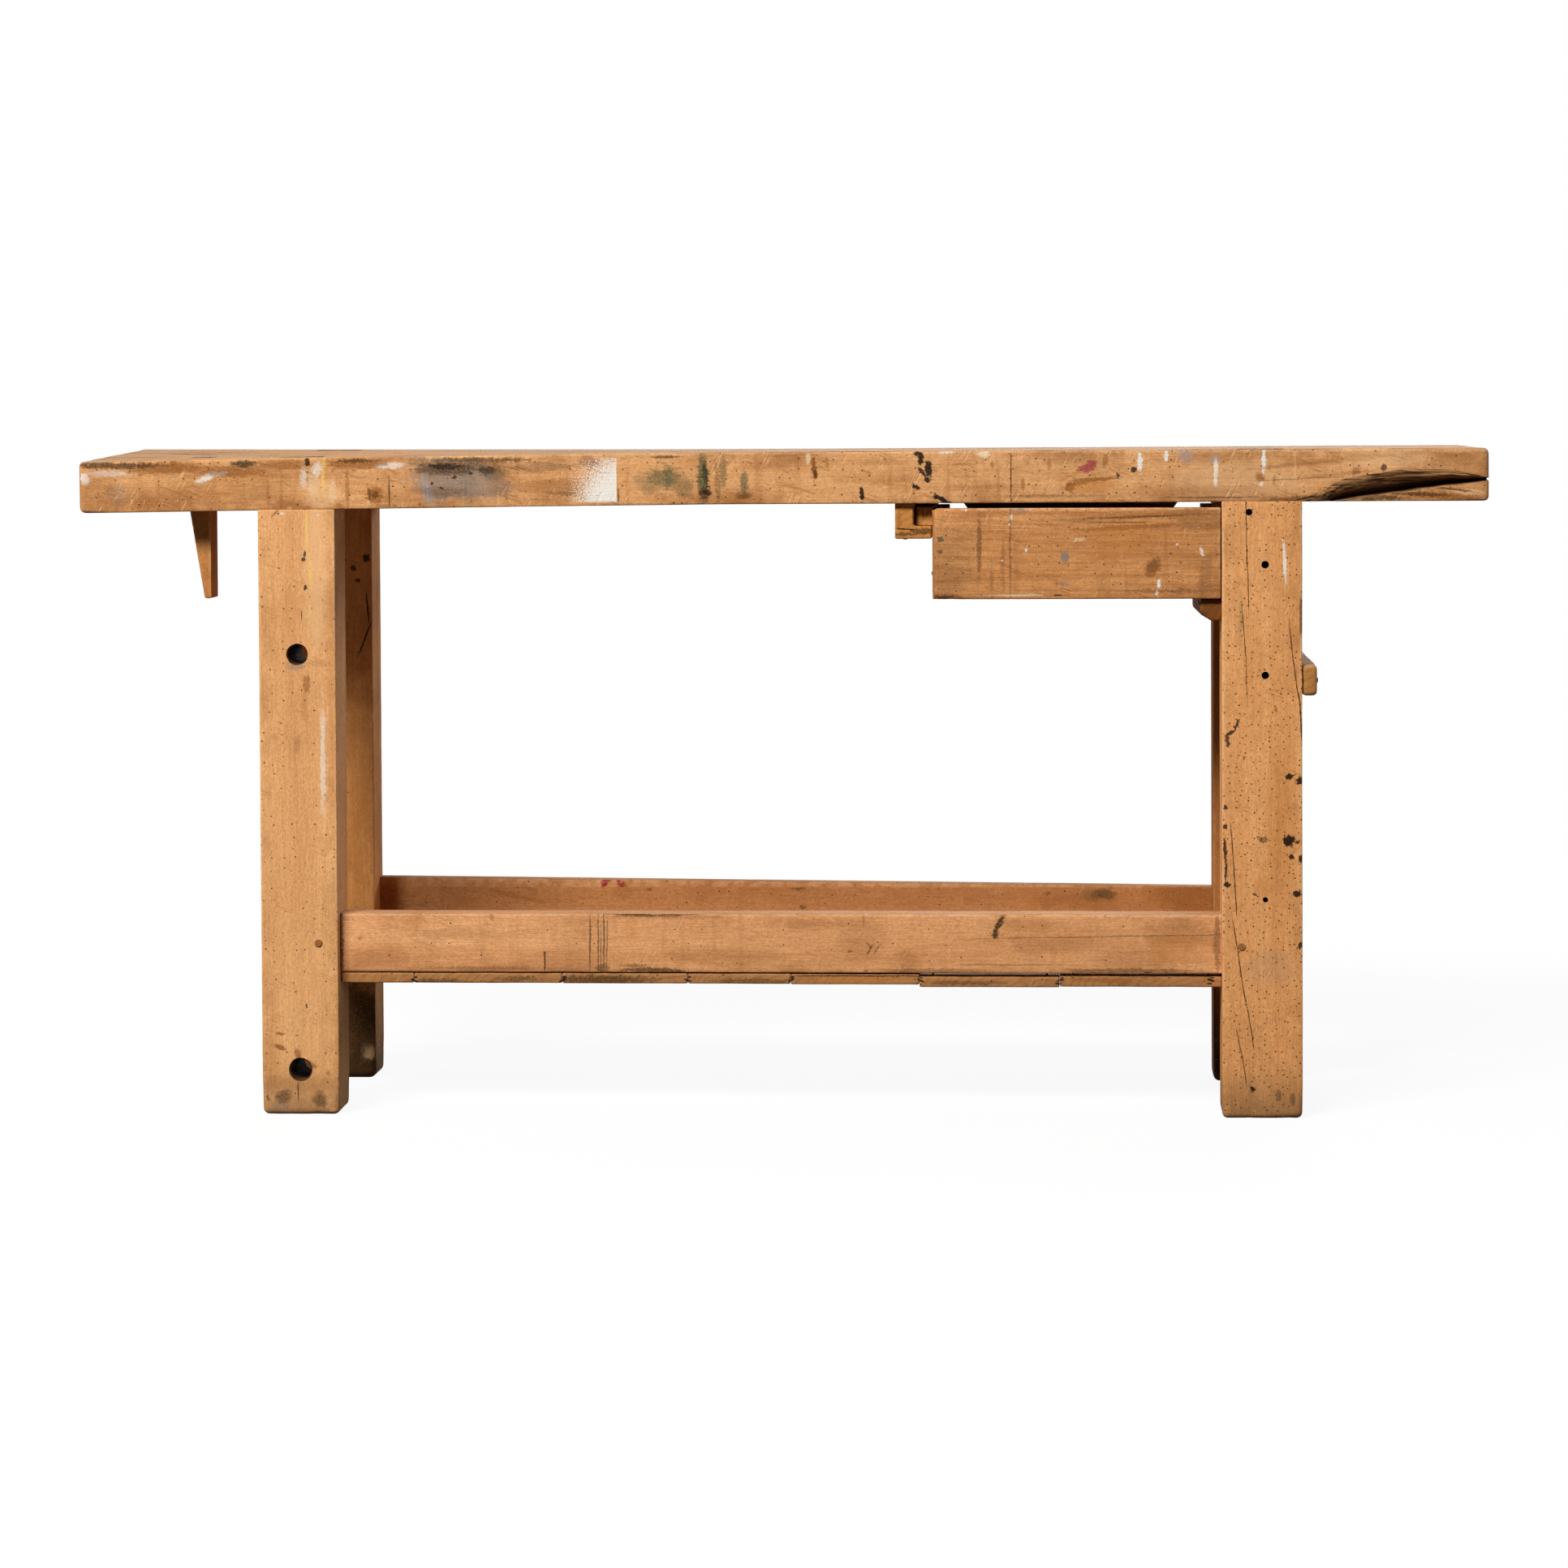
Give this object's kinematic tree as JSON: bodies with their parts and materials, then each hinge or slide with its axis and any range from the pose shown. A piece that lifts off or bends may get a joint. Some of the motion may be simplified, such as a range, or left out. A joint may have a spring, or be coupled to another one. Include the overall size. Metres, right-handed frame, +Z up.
{
  "type": "workbench",
  "caption": "Joiner's workbench with a thick slab top, square legs, tenoned stretchers, a low board shelf, a hung drawer, a planing stop and vise holes.",
  "frame": {"origin": "on the floor, under the middle of the top", "axes": "+X along the bench to the worker's right, -Y to the front where the worker stands, +Z up"},
  "size_m": [1.756, 0.4, 0.83],
  "materials": {
    "slab_beech": "aged beech, worn and stained, dull",
    "leg_beech": "aged beech, wormed, dull",
    "rail_beech": "aged beech, dull",
    "shelf_wood": "rough dark softwood",
    "batten_wood": "aged hardwood, dull",
    "peg_wood": "hardwood pegs and wedges",
    "stop_wood": "hardwood, worn",
    "drawer_wood": "aged softwood, dull",
    "old_iron": "dark forged iron"
  },
  "bodies": {
    "bench": {"bench_top": "slab_beech", "leg_front_left": "leg_beech", "leg_front_right": "leg_beech", "leg_rear_left": "leg_beech", "leg_rear_right": "leg_beech", "stretcher_front": "rail_beech", "stretcher_rear": "rail_beech", "end_rail_left": "rail_beech", "end_rail_right": "rail_beech", "shelf_board_1": "shelf_wood", "shelf_board_2": "shelf_wood", "shelf_board_3": "shelf_wood", "shelf_board_4": "shelf_wood", "shelf_board_5": "shelf_wood", "shelf_board_6": "shelf_wood", "shelf_board_7": "shelf_wood", "side_batten": "batten_wood", "drawer_runner": "batten_wood", "drawer_bearer": "batten_wood", "drawer_kicker": "batten_wood", "tenon_wedges": "peg_wood", "stretcher_pegs": "peg_wood", "end_rail_pegs": "peg_wood", "shelf_nails": "old_iron", "runner_nails": "old_iron", "bearer_nails": "old_iron", "kicker_nails": "old_iron", "batten_nails": "old_iron"},
    "drawer": {"drawer_front": "drawer_wood", "drawer_side_left": "drawer_wood", "drawer_side_right": "drawer_wood", "drawer_back": "drawer_wood", "drawer_bottom": "drawer_wood", "drawer_hanger": "drawer_wood", "drawer_nails": "old_iron"},
    "planing_stop": {"planing_stop": "stop_wood"}
  },
  "joints": [
    {"name": "drawer_slide", "type": "slide", "parent": "bench", "child": "drawer", "axis": [0, -1, 0], "range_m": [0, 0.22]},
    {"name": "planing_stop_slide", "type": "slide", "parent": "bench", "child": "planing_stop", "axis": [0, 0, 1], "range_m": [0, 0.06]}
  ]
}
